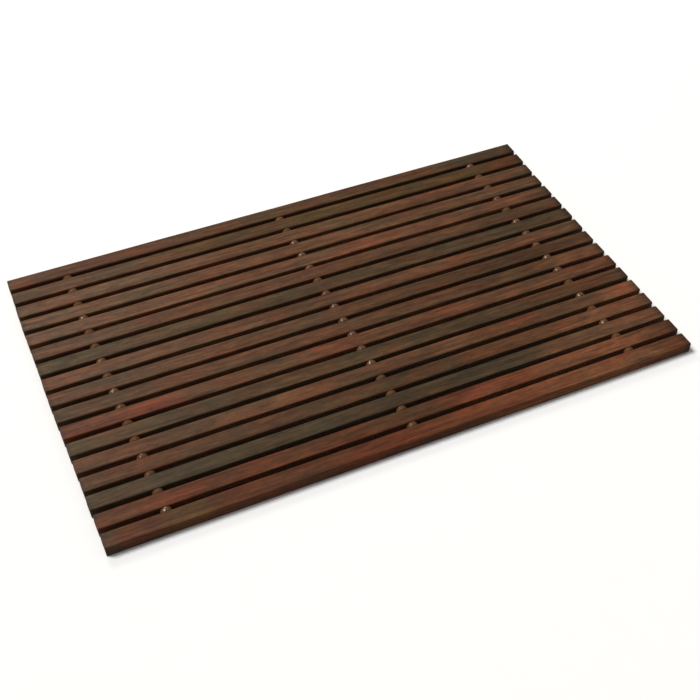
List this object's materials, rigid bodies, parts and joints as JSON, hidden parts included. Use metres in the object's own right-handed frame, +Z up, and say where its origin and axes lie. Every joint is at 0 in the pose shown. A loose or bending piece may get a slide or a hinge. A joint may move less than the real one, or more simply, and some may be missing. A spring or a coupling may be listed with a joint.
{
  "type": "slatted bath mat",
  "caption": "Slatted hardwood bath mat: bars strung side by side on elastic cords with bead spacers between them, so that water drains through and the mat rolls up.",
  "frame": {"origin": "centre of the mat's footprint, on the surface that it lies on", "axes": "+X along the slats, +Y across them from the front edge to the back edge, +Z up out of the top face"},
  "size_m": [0.8, 0.5, 0.0155],
  "materials": {
    "wood_red_brown": "dark red-brown stained hardwood, oiled, satin",
    "wood_brown": "dark brown stained hardwood, oiled, satin",
    "wood_olive_brown": "olive-brown stained hardwood, oiled, satin",
    "wood_grey_green": "grey-green brown stained hardwood, oiled, satin",
    "spacer_plastic": "glossy dark brown moulded plastic",
    "cord": "elastic cord in a braided dark brown sleeve"
  },
  "bodies": {
    "slat_01": {"slat_01": "wood_red_brown", "plugs_front": "wood_red_brown"},
    "slat_02": {"slat_02": "wood_red_brown", "spacers_01": "spacer_plastic"},
    "slat_03": {"slat_03": "wood_grey_green", "spacers_02": "spacer_plastic"},
    "slat_04": {"slat_04": "wood_olive_brown", "spacers_03": "spacer_plastic"},
    "slat_05": {"slat_05": "wood_red_brown", "spacers_04": "spacer_plastic"},
    "slat_06": {"slat_06": "wood_grey_green", "spacers_05": "spacer_plastic"},
    "slat_07": {"slat_07": "wood_red_brown", "spacers_06": "spacer_plastic"},
    "slat_08": {"slat_08": "wood_brown", "spacers_07": "spacer_plastic"},
    "slat_09": {"slat_09": "wood_brown", "spacers_08": "spacer_plastic", "spacers_09": "spacer_plastic", "cord_left": "cord", "cord_middle": "cord", "cord_right": "cord"},
    "slat_10": {"slat_10": "wood_brown", "spacers_10": "spacer_plastic"},
    "slat_11": {"slat_11": "wood_grey_green", "spacers_11": "spacer_plastic"},
    "slat_12": {"slat_12": "wood_red_brown", "spacers_12": "spacer_plastic"},
    "slat_13": {"slat_13": "wood_red_brown", "spacers_13": "spacer_plastic"},
    "slat_14": {"slat_14": "wood_brown", "spacers_14": "spacer_plastic"},
    "slat_15": {"slat_15": "wood_red_brown", "spacers_15": "spacer_plastic"},
    "slat_16": {"slat_16": "wood_olive_brown", "spacers_16": "spacer_plastic"},
    "slat_17": {"slat_17": "wood_red_brown", "plugs_back": "wood_red_brown"}
  },
  "joints": [
    {"name": "fold_09", "type": "hinge", "parent": "slat_09", "child": "slat_10", "pos_m": [0, 0.01831, 0.0145], "axis": [1, 0, 0], "range_deg": [0, 25.33], "deforming": ["cord_left", "cord_middle", "cord_right"]},
    {"name": "fold_10", "type": "hinge", "parent": "slat_10", "child": "slat_11", "pos_m": [0, 0.04813, 0.0145], "axis": [1, 0, 0], "range_deg": [0, 26]},
    {"name": "fold_11", "type": "hinge", "parent": "slat_11", "child": "slat_12", "pos_m": [0, 0.07794, 0.0145], "axis": [1, 0, 0], "range_deg": [0, 26.67]},
    {"name": "fold_12", "type": "hinge", "parent": "slat_12", "child": "slat_13", "pos_m": [0, 0.10775, 0.0145], "axis": [1, 0, 0], "range_deg": [0, 27.33]},
    {"name": "fold_13", "type": "hinge", "parent": "slat_13", "child": "slat_14", "pos_m": [0, 0.13756, 0.0145], "axis": [1, 0, 0], "range_deg": [0, 28]},
    {"name": "fold_14", "type": "hinge", "parent": "slat_14", "child": "slat_15", "pos_m": [0, 0.16737, 0.0145], "axis": [1, 0, 0], "range_deg": [0, 28.67]},
    {"name": "fold_15", "type": "hinge", "parent": "slat_15", "child": "slat_16", "pos_m": [0, 0.19719, 0.0145], "axis": [1, 0, 0], "range_deg": [0, 29.33]},
    {"name": "fold_16", "type": "hinge", "parent": "slat_16", "child": "slat_17", "pos_m": [0, 0.227, 0.0145], "axis": [1, 0, 0], "range_deg": [0, 30]},
    {"name": "fold_08", "type": "hinge", "parent": "slat_09", "child": "slat_08", "pos_m": [0, -0.01831, 0.0145], "axis": [-1, 0, 0], "range_deg": [0, 24.67]},
    {"name": "fold_07", "type": "hinge", "parent": "slat_08", "child": "slat_07", "pos_m": [0, -0.04813, 0.0145], "axis": [-1, 0, 0], "range_deg": [0, 24]},
    {"name": "fold_06", "type": "hinge", "parent": "slat_07", "child": "slat_06", "pos_m": [0, -0.07794, 0.0145], "axis": [-1, 0, 0], "range_deg": [0, 23.33]},
    {"name": "fold_05", "type": "hinge", "parent": "slat_06", "child": "slat_05", "pos_m": [0, -0.10775, 0.0145], "axis": [-1, 0, 0], "range_deg": [0, 22.67]},
    {"name": "fold_04", "type": "hinge", "parent": "slat_05", "child": "slat_04", "pos_m": [0, -0.13756, 0.0145], "axis": [-1, 0, 0], "range_deg": [0, 22]},
    {"name": "fold_03", "type": "hinge", "parent": "slat_04", "child": "slat_03", "pos_m": [0, -0.16737, 0.0145], "axis": [-1, 0, 0], "range_deg": [0, 21.33]},
    {"name": "fold_02", "type": "hinge", "parent": "slat_03", "child": "slat_02", "pos_m": [0, -0.19719, 0.0145], "axis": [-1, 0, 0], "range_deg": [0, 20.67]},
    {"name": "fold_01", "type": "hinge", "parent": "slat_02", "child": "slat_01", "pos_m": [0, -0.227, 0.0145], "axis": [-1, 0, 0], "range_deg": [0, 20]}
  ],
  "couplings": [
    {"joint": "fold_10", "follows": "fold_09", "ratio": 1.0263},
    {"joint": "fold_11", "follows": "fold_09", "ratio": 1.0527},
    {"joint": "fold_12", "follows": "fold_09", "ratio": 1.0789},
    {"joint": "fold_13", "follows": "fold_09", "ratio": 1.1053},
    {"joint": "fold_14", "follows": "fold_09", "ratio": 1.1316},
    {"joint": "fold_15", "follows": "fold_09", "ratio": 1.1579},
    {"joint": "fold_16", "follows": "fold_09", "ratio": 1.1842},
    {"joint": "fold_08", "follows": "fold_09", "ratio": 0.97371},
    {"joint": "fold_07", "follows": "fold_09", "ratio": 0.94738},
    {"joint": "fold_06", "follows": "fold_09", "ratio": 0.92105},
    {"joint": "fold_05", "follows": "fold_09", "ratio": 0.89476},
    {"joint": "fold_04", "follows": "fold_09", "ratio": 0.86843},
    {"joint": "fold_03", "follows": "fold_09", "ratio": 0.8421},
    {"joint": "fold_02", "follows": "fold_09", "ratio": 0.81581},
    {"joint": "fold_01", "follows": "fold_09", "ratio": 0.78948}
  ]
}
